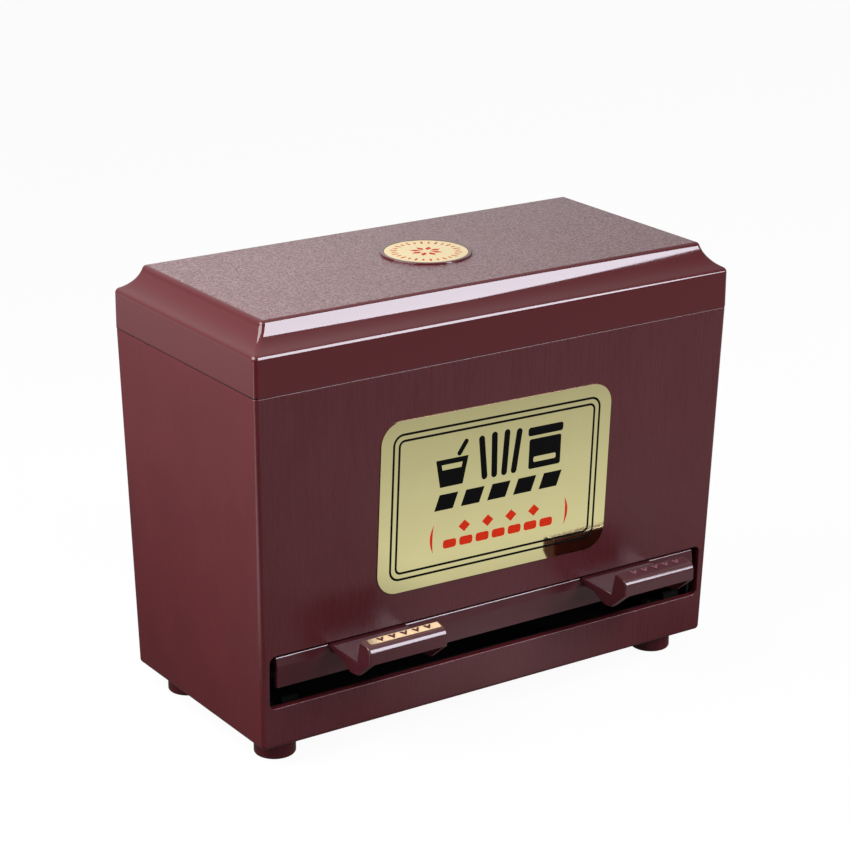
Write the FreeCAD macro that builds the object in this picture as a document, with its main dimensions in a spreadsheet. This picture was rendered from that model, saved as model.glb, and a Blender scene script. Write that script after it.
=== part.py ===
# Straw dispenser: a tapered case on four feet, a lift-off lid, and a press bar with two finger tabs.
# Millimetres, +Z up, +X to the right, -Y to the front. The origin is on the table, under the
# middle of the whole outline, tabs included.
import FreeCAD, Part
import math
import os
import Sketcher
from types import SimpleNamespace

SIZES = {
    # Case: a tub that tapers downwards.
    "case_height": 151.3,
    "case_top_length": 234.8,
    "case_top_depth": 114.8,
    "case_base_length": 227.2,
    "case_base_depth": 106.3,
    "case_wall": 3.0,
    "case_floor": 3.0,
    "case_corner": 2.0,
    "case_base_rounding": 2.0,
    "case_rim_rounding": 0.4,
    # Dispensing slot in the front wall. Its lower lip is measured from the case's underside.
    "slot_end_land": 1.5,
    "slot_lip": 17.95,
    "slot_height": 23.15,
    "slot_corner": 3.0,
    "slot_edge_rounding": 0.4,
    # Lid. The band is its upright edge, and the cove rises from there to the flat top.
    "lid_end_overhang": 0.1,
    "lid_side_overhang": 0.1,
    "lid_height": 28.0,
    "lid_band": 16.8,
    "lid_corner": 2.0,
    "cove_inset": 8.9,
    "cove_radius": 14.8,
    "lid_wall": 3.0,
    "lid_hem_rounding": 0.5,
    "lid_rim_rounding": 2.2,
    "lid_top_rounding": 2.1,
    "lid_mitre_rounding": 1.8,
    "skirt_drop": 6.0,
    "skirt_wall": 1.5,
    "skirt_gap": 0.5,
    "skirt_ledge": 1.5,
    # Badge, and its raised ring on the lid.
    "badge_radius": 17.7,
    "badge_thickness": 0.5,
    "badge_gap": 0.2,
    "badge_depth": 0.6,
    "ring_radius": 19.4,
    "ring_height": 0.9,
    "ring_rounding": 0.4,
    # Label on the front, stuck on slightly askew.
    "label_length": 115.6,
    "label_height": 74.6,
    "label_thickness": 0.4,
    "label_corner": 9.5,
    "label_offset": -2.0,
    "label_rise": 92.1,
    "label_turn": 1.0,
    # Feet and their screws.
    "foot_height": 10.0,
    "foot_radius": 8.75,
    "foot_rounding": 1.0,
    "foot_inset_side": 15.1,
    "foot_inset_end": 16.5,
    "foot_screw_radius": 1.75,
    "foot_screw_length": 15.0,
    "foot_head_radius": 3.5,
    "foot_head_height": 2.4,
    "foot_sink": 5.0,
    "screw_gap": 0.15,
    "thread_gap": 0.05,
    # Rod, and the bar that turns on it. Places on the bar are measured from the rod's axis.
    "rod_radius": 2.0,
    "rod_fit_gap": 0.05,
    "bar_end_gap": 1.0,
    "bar_height": 13.1,
    "bar_wall": 2.4,
    "bar_setback": 0.1,
    "bar_gap_above": 1.0,
    "bar_top_above_rod": 10.1,
    "bar_face_before_rod": 12.5,
    "facet_height": 4.1,
    "facet_lean": 0.8,
    "bar_rim": 1.0,
    "bar_edge_rounding": 0.8,
    "pocket_depth": 2.9,
    "pocket_slope": 5.0,
    "pocket_back": 2.2,
    "pocket_wall": 2.2,
    "shield_radius": 13.5,
    "shield_tail_angle": 45.0,
    "rib_wall": 3.0,
    "rib_recess": 6.7,
    "mid_rib_offset": 48.0,
    "rib_clearance": 0.4,
    "hub_radius": 5.5,
    "heel_reach": 15.0,
    "heel_drop": 1.0,
    "heel_height": 4.0,
    "heel_foot": 5.0,
    "heel_root_reach": 2.75,
    "heel_root_drop": 4.4,
    "bush_wall": 0.95,
    "bush_flange": 0.8,
    "bush_flange_rim": 1.2,
    "bush_fit_gap": 0.02,
    # Finger tabs. Their reaches are measured forward from the bar's face.
    "tab_width": 37.2,
    "tab_end_inset": 24.47,
    "tab_wall": 2.2,
    "tab_above_bar": 0.3,
    "tab_arm_drop": 0.5,
    "valley_reach": 20.5,
    "ridge_reach": 22.9,
    "ridge_rise": 10.5,
    "ridge_rounding": 1.1,
    "tab_reach": 30.4,
    "nose_drop": 1.7,
    "nose_rounding": 3.0,
    "plate_height": 6.8,
    "toe_reach": 21.3,
    "toe_drop": 6.1,
    "belly_reach": 16.0,
    "belly_drop": 6.9,
    "calf_reach": 9.0,
    "calf_drop": 3.8,
    "web_root_height": 1.5,
    "toe_rounding": 3.0,
    "tab_edge_rounding": 0.7,
    "root_depth": 3.0,
    "peg_radius": 1.2,
    "peg_spread": 12.0,
    "peg_drop": 2.1,
    "peg_tip": 10.6,
    "peg_gap": 0.1,
    "foil_thickness": 0.15,
    "foil_width": 3.5,
    "foil_start": 1.15,
    "foil_left_gap": 2.4,
    "foil_right_gap": 1.0,
    # Tray in the bottom of the case.
    "tray_gap": 0.3,
    "tray_base": 2.5,
    "tray_corner": 3.0,
    "boss_radius": 4.5,
    "boss_height": 5.5,
    "trough_wall": 2.0,
    "trough_rise": 11.5,
    # Side cheeks, which carry the rod and the ramp.
    "cheek_wall": 2.4,
    "cheek_gap": 0.6,
    "nose_height": 8.0,
    "nose_depth": 5.5,
    "lug_length": 9.0,
    "lug_depth": 12.0,
    "lug_height": 3.0,
    "lug_spread": 18.0,
    "lug_screw_inset": 4.2,
    "bracket_depth": 9.4,
    "bracket_height": 3.0,
    "small_screw_radius": 1.3,
    "small_screw_length": 5.0,
    "small_head_radius": 2.6,
    "small_head_height": 1.8,
    "shelf_depth": 4.5,
    "shelf_height": 3.2,
    "spring_peg_radius": 1.0,
    "spring_peg_length": 3.2,
    # Hopper ramp. Its nose hangs over the bar's shield.
    "ramp_wall": 2.5,
    "ramp_end_gap": 0.6,
    "ramp_back_rise": 85.0,
    "ramp_shelf": 12.0,
    "ramp_back_gap": 0.5,
    "ramp_nose_gap": 0.7,
    "throat_width": 9.0,
    # Clips, springs and stops.
    "clip_radius": 4.0,
    "clip_wall": 0.6,
    "clip_gap": 0.2,
    "clip_mouth": 3.0,
    "spring_wire_radius": 0.4,
    "spring_turns": 5.25,
    "spring_end_gap": 0.2,
    "spring_arm": 7.0,
    "spring_tail": 11.0,
    "spring_seat_gap": 0.1,
    "rest_pad_height": 2.0,
    "press_pad_length": 8.0,
    "stop_gap": 0.3,
    "press_angle": 35.0,
}


class Size:
    """A length that knows its value and the sheet formula that gives it."""

    def __init__(self, value, formula):
        self.value = float(value)
        self.formula = formula

    def __add__(self, other):
        other = as_size(other)
        return Size(self.value + other.value, "(%s + %s)" % (self.formula, other.formula))

    def __sub__(self, other):
        other = as_size(other)
        return Size(self.value - other.value, "(%s - %s)" % (self.formula, other.formula))

    def __mul__(self, other):
        other = as_size(other)
        return Size(self.value * other.value, "(%s * %s)" % (self.formula, other.formula))

    def __truediv__(self, other):
        other = as_size(other)
        return Size(self.value / other.value, "(%s / %s)" % (self.formula, other.formula))

    def __radd__(self, other):
        return as_size(other) + self

    def __rsub__(self, other):
        return as_size(other) - self

    def __rmul__(self, other):
        return as_size(other) * self

    def __neg__(self):
        return Size(-self.value, "(0 - %s)" % self.formula)


def as_size(number):
    """Wraps a plain number, so that sizes and numbers mix."""
    if isinstance(number, Size):
        return number
    return Size(number, "%.9g" % number if number >= 0 else "(0 - %.9g)" % -number)


def root(size):
    return Size(math.sqrt(size.value), "sqrt(%s)" % size.formula)


def least(*sizes):
    """The smallest of some sizes."""
    return Size(min(size.value for size in sizes), "min(%s)" % "; ".join(size.formula for size in sizes))


def sine(angle):
    return Size(math.sin(math.radians(angle.value)), "sin(%s)" % angle.formula)


def cosine(angle):
    return Size(math.cos(math.radians(angle.value)), "cos(%s)" % angle.formula)


def make_sheet():
    """Writes the driving dimensions to the sheet and returns them as sizes."""
    sheet = doc.addObject("Spreadsheet::Sheet", "Sizes")
    sizes = {}
    for row, (name, value) in enumerate(SIZES.items(), start=1):
        sheet.set("A%d" % row, name)
        sheet.set("B%d" % row, "%g" % value)
        sheet.setAlias("B%d" % row, name)
        sizes[name] = Size(value, "Sizes." + name)
    doc.recompute()
    return SimpleNamespace(**sizes)


doc = FreeCAD.newDocument("straw_dispenser")
dim = make_sheet()
nodes = []
# Edges are told apart to this much, in mm.
NEAR = 0.02
# Cuts reach this far past the surface that they cut through, in mm.
CUT_BEYOND = 2.0
ALONG_X = FreeCAD.Rotation(FreeCAD.Vector(0, 1, 0), 90)
UP_FROM_Y = FreeCAD.Vector(1, 0, 0)

# Heights above the table.
case_low = dim.foot_height
case_top = case_low + dim.case_height
floor_top = case_low + dim.case_floor
lid_top = case_top + dim.lid_height
slot_low = case_low + dim.slot_lip
slot_top = slot_low + dim.slot_height
tray_top = floor_top + dim.tray_base
shelf_top = case_low + dim.ramp_back_rise
shelf_low = shelf_top - dim.ramp_wall
trough_top = tray_top + dim.trough_rise
badge_low = lid_top + dim.ring_height - dim.badge_depth


def half_length(height):
    """Half the case's outer length at a height above the table."""
    taper = (dim.case_top_length - dim.case_base_length) / 2 / dim.case_height
    return dim.case_base_length / 2 + taper * (height - case_low)


def half_depth(height):
    """Half the case's outer depth at a height above the table."""
    taper = (dim.case_top_depth - dim.case_base_depth) / 2 / dim.case_height
    return dim.case_base_depth / 2 + taper * (height - case_low)


lid_half_length = dim.case_top_length / 2 + dim.lid_end_overhang
lid_half_depth = dim.case_top_depth / 2 + dim.lid_side_overhang

# Places in the side view, measured from the case's middle plane.
bar_face = dim.bar_setback - half_depth((slot_low + slot_top) / 2)
rod_y = bar_face + dim.bar_face_before_rod
rod_z = slot_top - dim.bar_gap_above - dim.bar_top_above_rod
front_reach = dim.tab_reach - bar_face
# The case's middle plane lies behind the origin, because the tabs stand out in front.
case_y = (front_reach - lid_half_depth) / 2

# Places along X, from the case's middle out to each side.
slot_half = half_length(slot_low) - dim.case_corner - dim.slot_end_land
tray_half_length = half_length(floor_top) - dim.case_wall - dim.tray_gap
cheek_far = least(tray_half_length, half_length(shelf_low) - dim.case_wall - dim.tray_gap)
cheek_near = cheek_far - dim.cheek_wall
bar_half = cheek_near - dim.bar_end_gap
rib_far = bar_half - dim.rib_recess
rib_near = rib_far - dim.rib_wall


class Bend:
    """A round stretch of an outline: its radius, and 1 if it bulges to the right of its path, or -1."""

    def __init__(self, radius, side):
        self.radius = radius
        self.side = side


def bind(item, name, size):
    """Ties a property to the sheet."""
    item.setExpression(name, as_size(size).formula)


def place(item, x, y, z, rotation=FreeCAD.Rotation()):
    """Turns an object and ties its place to the sheet."""
    x, y, z = as_size(x), as_size(y), as_size(z)
    item.Placement = FreeCAD.Placement(FreeCAD.Vector(x.value, y.value, z.value), rotation)
    bind(item, "Placement.Base.x", x)
    bind(item, "Placement.Base.y", y)
    bind(item, "Placement.Base.z", z)


def in_case(item):
    """Places a piece that is drawn from the case's middle, on the table."""
    place(item, 0, case_y, 0)


def on_rod(item):
    """Places a piece that is drawn from the rod's axis."""
    place(item, 0, case_y + rod_y, rod_z)


def node(item, label):
    """Keeps an object as a piece of the dispenser."""
    item.Label = label
    nodes.append(item)
    return item


def make_body(label):
    return node(doc.addObject("PartDesign::Body", label), label)


def middle_of_arc(start, end, bend):
    """A point of the arc from start to end that bulges by the bend's radius."""
    chord = end - start
    half = chord.Length / 2
    rise = bend.radius.value - math.sqrt(max(bend.radius.value ** 2 - half ** 2, 0.0))
    across = FreeCAD.Vector(chord.y, -chord.x, 0).normalize()
    return (start + end) / 2 + across * rise * bend.side


def draw(body, label, plane, outline, offset=0):
    """Draws a closed outline of points and bends on a plane of the body, tied to the sheet."""
    sketch = body.newObject("Sketcher::SketchObject", label)
    support = [item for item in body.Origin.OriginFeatures if item.Role == plane][0]
    sketch.AttachmentSupport = [(support, "")]
    sketch.MapMode = "FlatFace"
    bind(sketch, "AttachmentOffset.Base.z", offset)
    corners = [(as_size(item[0]), as_size(item[1])) for item in outline if not isinstance(item, Bend)]
    bends = {}
    for item in outline:
        if isinstance(item, Bend):
            bends[len(bends_before(outline, item)) - 1] = item
    count = len(corners)
    ends = []
    for index in range(count):
        start = vector(corners[index])
        end = vector(corners[(index + 1) % count])
        bend = bends.get(index)
        if bend is None:
            sketch.addGeometry(Part.LineSegment(start, end))
            ends.append((1, 2))
            continue
        middle = middle_of_arc(start, end, bend)
        if bend.side > 0:
            sketch.addGeometry(Part.Arc(start, middle, end))
            ends.append((1, 2))
        else:
            sketch.addGeometry(Part.Arc(end, middle, start))
            ends.append((2, 1))
    for index in range(count):
        after = (index + 1) % count
        sketch.addConstraint(Sketcher.Constraint("Coincident", index, ends[index][1], after, ends[after][0]))
    for index, (across, up) in enumerate(corners):
        tie(sketch, Sketcher.Constraint("DistanceX", index, ends[index][0], across.value), across)
        tie(sketch, Sketcher.Constraint("DistanceY", index, ends[index][0], up.value), up)
    for index, bend in bends.items():
        tie(sketch, Sketcher.Constraint("Radius", index, bend.radius.value), bend.radius)
    return sketch


def bends_before(outline, bend):
    """The corners of an outline that come before a bend."""
    return [item for item in outline[:outline.index(bend)] if not isinstance(item, Bend)]


def vector(corner):
    return FreeCAD.Vector(corner[0].value, corner[1].value, 0)


def tie(sketch, constraint, size):
    """Adds a constraint and ties it to the sheet."""
    sketch.setExpression("Constraints[%d]" % sketch.addConstraint(constraint), size.formula)


def draw_circles(body, label, plane, centres, radius, offset=0):
    """Draws circles of one radius on a plane of the body."""
    sketch = body.newObject("Sketcher::SketchObject", label)
    support = [item for item in body.Origin.OriginFeatures if item.Role == plane][0]
    sketch.AttachmentSupport = [(support, "")]
    sketch.MapMode = "FlatFace"
    bind(sketch, "AttachmentOffset.Base.z", offset)
    for index, (across, up) in enumerate(centres):
        across, up = as_size(across), as_size(up)
        centre = FreeCAD.Vector(across.value, up.value, 0)
        sketch.addGeometry(Part.Circle(centre, FreeCAD.Vector(0, 0, 1), radius.value))
        tie(sketch, Sketcher.Constraint("DistanceX", index, 3, across.value), across)
        tie(sketch, Sketcher.Constraint("DistanceY", index, 3, up.value), up)
        tie(sketch, Sketcher.Constraint("Radius", index, radius.value), radius)
    return sketch


def pad(body, label, sketch, length, both=False, reverse=False):
    """Adds a sketch's area to the body, along the sketch's normal."""
    item = body.newObject("PartDesign::Pad", label)
    item.Profile = sketch
    item.SideType = "Symmetric" if both else "One side"
    item.Reversed = reverse
    bind(item, "Length", length)
    return item


def pocket(body, label, sketch, length, both=False, along=True):
    """Cuts a sketch's area out of the body, along the sketch's normal, and checks that it cuts."""
    doc.recompute()
    before = body.Shape.Volume
    item = body.newObject("PartDesign::Pocket", label)
    item.Profile = sketch
    item.SideType = "Symmetric" if both else "One side"
    item.Reversed = along
    bind(item, "Length", length)
    doc.recompute()
    if body.Shape.Volume > before - 1e-3:
        raise RuntimeError("%s: %s cuts nothing" % (body.Label, label))
    return item


def tapered_block(body, label, kind, low, high, base, top):
    """Adds or cuts a tapered block between two heights; base and top give half its length and depth."""
    item = body.newObject("PartDesign::" + kind, label)
    # The wedge tapers along its own Y axis, which is turned up to stand along Z.
    item.Placement = FreeCAD.Placement(FreeCAD.Vector(0, 0, low.value), FreeCAD.Rotation(UP_FROM_Y, 90))
    bind(item, "Placement.Base.z", low)
    item.Ymin = 0
    bind(item, "Ymax", high - low)
    for name, half in (("X", base[0]), ("Z", base[1]), ("X2", top[0]), ("Z2", top[1])):
        bind(item, name + "max", half)
        bind(item, name + "min", -half)
    return item


def revolve(body, label, sketch):
    """Turns a sketch on the XZ plane about the body's Z axis."""
    item = body.newObject("PartDesign::Revolution", label)
    item.Profile = sketch
    item.ReferenceAxis = (sketch, ["V_Axis"])
    item.Angle = 360
    return item


def fillet(body, label, radius, wanted):
    """Rounds the edges of the body that `wanted` picks."""
    doc.recompute()
    base = body.Tip
    names = ["Edge%d" % (index + 1) for index, edge in enumerate(base.Shape.Edges) if wanted(edge)]
    if not names:
        raise RuntimeError("%s: %s finds no edge" % (body.Label, label))
    item = body.newObject("PartDesign::Fillet", label)
    item.Base = (base, names)
    bind(item, "Radius", radius)
    return item


def lies_at(edge, axis, place):
    """Tells whether a whole edge lies at one place along an axis: x, y or z."""
    box = edge.BoundBox
    low = {"x": box.XMin, "y": box.YMin, "z": box.ZMin}[axis]
    high = {"x": box.XMax, "y": box.YMax, "z": box.ZMax}[axis]
    return abs(low - place.value) < NEAR and abs(high - place.value) < NEAR


def runs_along(edge, axis):
    """Tells whether an edge is a straight one along an axis: x, y or z."""
    box = edge.BoundBox
    spans = {"x": box.XLength, "y": box.YLength, "z": box.ZLength}
    return spans[axis] > NEAR and all(span < NEAR for name, span in spans.items() if name != axis)


def is_upright(edge):
    """Tells whether an edge runs up and down, with or without a taper."""
    box = edge.BoundBox
    return box.ZLength > 5 * max(box.XLength, box.YLength)


def rounded_rectangle(half_across, half_up, corner, across=0, up=0):
    """An outline of a rectangle with round corners, about a centre."""
    left, right = across - half_across, across + half_across
    low, high = up - half_up, up + half_up
    return [
        (left + corner, low), (right - corner, low), Bend(corner, 1),
        (right, low + corner), (right, high - corner), Bend(corner, 1),
        (right - corner, high), (left + corner, high), Bend(corner, 1),
        (left, high - corner), (left, low + corner), Bend(corner, 1),
    ]


def rectangle(left, right, low, high):
    return [(left, low), (right, low), (right, high), (left, high)]


def side_low(side, near, far):
    """The lower X of a stretch from near to far, on the right side (1) or the left (-1)."""
    return near if side > 0 else -far


FOOT_PLACES = {
    "foot_front_left": (-1, -1),
    "foot_front_right": (1, -1),
    "foot_rear_left": (-1, 1),
    "foot_rear_right": (1, 1),
}
foot_x = dim.case_base_length / 2 - dim.foot_inset_side
foot_y = dim.case_base_depth / 2 - dim.foot_inset_end
foot_centres = [(across * foot_x, along * foot_y) for across, along in FOOT_PLACES.values()]


def make_case():
    """The tub: four tapered walls, a floor, and the slot in its front."""
    body = make_body("case_shell")
    in_case(body)
    wall = dim.case_wall
    base = (dim.case_base_length / 2, dim.case_base_depth / 2)
    top = (dim.case_top_length / 2, dim.case_top_depth / 2)
    tapered_block(body, "case_block", "AdditiveWedge", case_low, case_top, base, top)
    fillet(body, "case_corners", dim.case_corner, is_upright)
    fillet(body, "case_base_edge", dim.case_base_rounding, lambda edge: lies_at(edge, "z", case_low))
    floor = (half_length(floor_top) - wall, half_depth(floor_top) - wall)
    mouth = (top[0] - wall, top[1] - wall)
    tapered_block(body, "hopper_space", "SubtractiveWedge", floor_top, case_top, floor, mouth)
    slot = rounded_rectangle(slot_half, dim.slot_height / 2, dim.slot_corner, 0,
                             (slot_low + slot_top) / 2)
    slot_sketch = draw(body, "slot_outline", "XZ_Plane", slot, dim.case_base_depth / 4)
    pocket(body, "slot", slot_sketch, dim.case_top_depth / 2)

    def on_slot_face(edge):
        box = edge.BoundBox
        outside = box.YMax < NEAR - half_depth(slot_low).value
        level = slot_low.value - NEAR < box.ZMin and box.ZMax < slot_top.value + NEAR
        within = max(-box.XMin, box.XMax) < slot_half.value + NEAR
        return outside and level and within

    fillet(body, "slot_edge", dim.slot_edge_rounding, on_slot_face)
    holes = draw_circles(body, "foot_screw_places", "XY_Plane", foot_centres,
                         dim.foot_screw_radius + dim.screw_gap, floor_top)
    pocket(body, "foot_screw_holes", holes, dim.case_floor, along=False)

    def on_rim(edge):
        return lies_at(edge, "z", case_top) and edge.BoundBox.XLength + edge.BoundBox.YLength > NEAR

    fillet(body, "case_rim_edge", dim.case_rim_rounding, on_rim)


def make_lid():
    """The lid: an upright band, a cove all round, a flat top and a skirt that sits in the case."""
    body = make_body("lid")
    in_case(body)
    half_across, half_along = lid_half_length, lid_half_depth
    outline = rounded_rectangle(half_across, half_along, dim.lid_corner)
    pad(body, "lid_block", draw(body, "lid_outline", "XY_Plane", outline, case_top), dim.lid_height)
    rim = case_top + dim.lid_band
    coves = (("side_cove", "XZ_Plane", half_across), ("front_cove", "YZ_Plane", half_along))
    for label, plane, half in coves:
        for side in (1, -1):
            outer = side * (half + CUT_BEYOND)
            edge = side * (half - dim.cove_inset)
            above = lid_top + CUT_BEYOND
            cove = [(side * half, rim), Bend(dim.cove_radius, -side), (edge, lid_top),
                    (edge, above), (outer, above), (outer, rim)]
            name = "%s_%s" % (label, "high" if side > 0 else "low")
            sketch = draw(body, name + "_outline", plane, cove)
            pocket(body, name, sketch, lid_half_length * 4, both=True)

    def on_top(edge):
        return lies_at(edge, "z", lid_top)

    def on_mitre(edge):
        box = edge.BoundBox
        rises = box.ZMin > rim.value - 1 and box.ZLength > dim.lid_height.value / 5
        return rises and box.XLength > 2 and box.YLength > 2

    def on_corner_rim(edge):
        box = edge.BoundBox
        return box.ZMin > rim.value - 1 and box.ZMax < rim.value + 3 and not lies_at(edge, "z", lid_top)

    fillet(body, "lid_mitres", dim.lid_mitre_rounding, on_mitre)
    fillet(body, "lid_top_edge", dim.lid_top_rounding, on_top)
    fillet(body, "lid_rim_edge", dim.lid_rim_rounding, on_corner_rim)
    ring = draw_circles(body, "badge_ring_outline", "XY_Plane", [(0, 0)], dim.ring_radius, lid_top)
    pad(body, "badge_ring", ring, dim.ring_height)
    ring_top = lid_top + dim.ring_height
    fillet(body, "badge_ring_edge", dim.ring_rounding, lambda edge: lies_at(edge, "z", ring_top))
    seat = draw_circles(body, "badge_seat_outline", "XY_Plane", [(0, 0)], dim.badge_radius + dim.badge_gap,
                        badge_low)
    pocket(body, "badge_seat", seat, dim.ring_height)
    skirt_half_across = dim.case_top_length / 2 - dim.case_wall - dim.skirt_gap
    skirt_half_along = dim.case_top_depth / 2 - dim.case_wall - dim.skirt_gap
    skirt = rectangle(-skirt_half_across, skirt_half_across, -skirt_half_along, skirt_half_along)
    skirt_sketch = draw(body, "skirt_outline", "XY_Plane", skirt, case_top - dim.skirt_drop)
    pad(body, "skirt", skirt_sketch, dim.skirt_drop)
    ledge_top = case_top + dim.skirt_ledge
    knee = rim - dim.lid_wall
    roof = lid_top - dim.lid_wall
    # Three stacked hollows leave the skirt, the band's wall and the top's wall.
    hollows = (
        ("skirt_hollow", skirt_half_across - dim.skirt_wall, skirt_half_along - dim.skirt_wall,
         case_top - dim.skirt_drop, ledge_top),
        ("band_hollow", half_across - dim.lid_wall, half_along - dim.lid_wall, ledge_top, knee),
        ("top_hollow", half_across - dim.cove_inset - dim.lid_wall,
         half_along - dim.cove_inset - dim.lid_wall, knee, roof),
    )
    for name, across, along, low, high in hollows:
        hollow = rectangle(-across, across, -along, along)
        pocket(body, name, draw(body, name + "_outline", "XY_Plane", hollow, low), high - low)

    def on_hem(edge):
        box = edge.BoundBox
        outer = max(box.XMax, -box.XMin) > half_across.value - NEAR - dim.lid_corner.value
        outer = outer or max(box.YMax, -box.YMin) > half_along.value - NEAR
        return lies_at(edge, "z", case_top) and outer

    fillet(body, "lid_hem", dim.lid_hem_rounding, on_hem)


def make_badge():
    """The round foil badge in its seat on the lid."""
    body = make_body("badge_disc")
    in_case(body)
    disc = draw_circles(body, "badge_outline", "XY_Plane", [(0, 0)], dim.badge_radius, badge_low)
    pad(body, "badge", disc, dim.badge_thickness)


def make_label():
    """The label plate, flat on the tapered front wall and turned slightly."""
    body = make_body("label_plate")
    outline = rounded_rectangle(dim.label_length / 2, dim.label_height / 2, dim.label_corner)
    sketch = draw(body, "label_outline", "XZ_Plane", outline)
    pad(body, "label", sketch, dim.label_thickness)
    height = case_low + dim.label_rise
    taper = (dim.case_top_depth - dim.case_base_depth).value / 2 / dim.case_height.value
    lean = FreeCAD.Rotation(FreeCAD.Vector(1, 0, 0), math.degrees(math.atan(taper)))
    turn = FreeCAD.Rotation(FreeCAD.Vector(0, 1, 0), dim.label_turn.value)
    place(body, dim.label_offset, case_y - half_depth(height), height, lean * turn)


def make_feet():
    """Four round feet, each with a sunk hole for its screw."""
    for label, (across, along) in FOOT_PLACES.items():
        body = make_body(label)
        place(body, across * foot_x, case_y + along * foot_y, 0)
        hole = dim.foot_screw_radius + dim.screw_gap
        sink = dim.foot_head_radius + dim.screw_gap
        profile = [(hole, dim.foot_sink), (sink, dim.foot_sink), (sink, 0), (dim.foot_radius, 0),
                   (dim.foot_radius, dim.foot_height), (hole, dim.foot_height)]
        revolve(body, label + "_turned", draw(body, label + "_profile", "XZ_Plane", profile))

        def on_tread(edge):
            return lies_at(edge, "z", as_size(0)) and edge.BoundBox.XLength > dim.foot_radius.value * 1.5

        fillet(body, label + "_tread", dim.foot_rounding, on_tread)


# The cross recess of a screw: its reach and width by the head's radius, its depth by the head's height.
RECESS_REACH = 1.2
RECESS_WIDTH = 0.3
RECESS_DEPTH = 0.6


def make_screw(label, place_xy, seat, size, up):
    """A screw whose head bears on `seat`; its shank points up where up is 1, and down where it is -1."""
    across, along = place_xy
    shank_radius, shank_length, head_radius, head_height = size
    shank_low = seat if up > 0 else seat - shank_length
    head_low = seat - head_height if up > 0 else seat
    shank = make_cylinder(label + "_shank", shank_radius, shank_length, (across, along, shank_low))
    head = make_cylinder(label + "_head", head_radius, head_height, (across, along, head_low))
    whole = doc.addObject("Part::MultiFuse", label + "_whole")
    whole.Shapes = [head, shank]
    # A cross recess in the head: two crossed bars.
    reach, width = head_radius * RECESS_REACH, head_radius * RECESS_WIDTH
    deep = head_height * RECESS_DEPTH
    recess_low = head_low if up > 0 else head_low + head_height - deep
    bars = [
        make_box(label + "_recess_across", (reach, width, deep),
                 (across - reach / 2, along - width / 2, recess_low)),
        make_box(label + "_recess_along", (width, reach, deep),
                 (across - width / 2, along - reach / 2, recess_low)),
    ]
    recess = doc.addObject("Part::MultiFuse", label + "_recess")
    recess.Shapes = bars
    screw = doc.addObject("Part::Cut", label)
    screw.Base = whole
    screw.Tool = recess
    return screw


def make_cylinder(label, radius, height, low, rotation=FreeCAD.Rotation()):
    """A cylinder that stands on `low`, given from the case's middle; a rotation turns it there."""
    item = doc.addObject("Part::Cylinder", label)
    bind(item, "Radius", radius)
    bind(item, "Height", height)
    place(item, low[0], case_y + low[1], low[2], rotation)
    return item


def make_box(label, sides, low):
    """A box from its lowest corner, given from the case's middle."""
    item = doc.addObject("Part::Box", label)
    for name, side in zip(("Length", "Width", "Height"), sides):
        bind(item, name, side)
    place(item, low[0], case_y + low[1], low[2])
    return item


def make_group(label, members):
    """One node of several separate solids."""
    group = node(doc.addObject("Part::Compound", label), label)
    group.Links = members


def span(body, label, outline, low, length):
    """Pads an outline of the side view along X, from `low` over a length."""
    return pad(body, label, draw(body, label + "_outline", "YZ_Plane", outline, low), length)


# Side view of the bar, from the rod's axis: Y to the back and Z up.
face = -dim.bar_face_before_rod
bar_top = dim.bar_top_above_rod
bar_low = bar_top - dim.bar_height
facet_low = bar_top - dim.facet_height
facet_top = face + dim.facet_lean
rim_back = facet_top + dim.bar_rim
pocket_low = bar_top - dim.pocket_depth
pocket_under = pocket_low - dim.pocket_wall
pocket_flat = rim_back + dim.pocket_slope
pocket_end = -dim.pocket_back
tab_x = bar_half - dim.tab_end_inset - dim.tab_width / 2
peg_places = [(side * tab_x + step * dim.peg_spread, bar_top - dim.peg_drop)
              for side in (-1, 1) for step in (-1, 1)]


def on_circle(radius, across):
    """A point of a circle about the rod, above the axis, at a distance behind it."""
    return across, root(radius * radius - across * across)


def at_angle(radius, angle):
    return radius * cosine(angle), radius * sine(angle)


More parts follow.
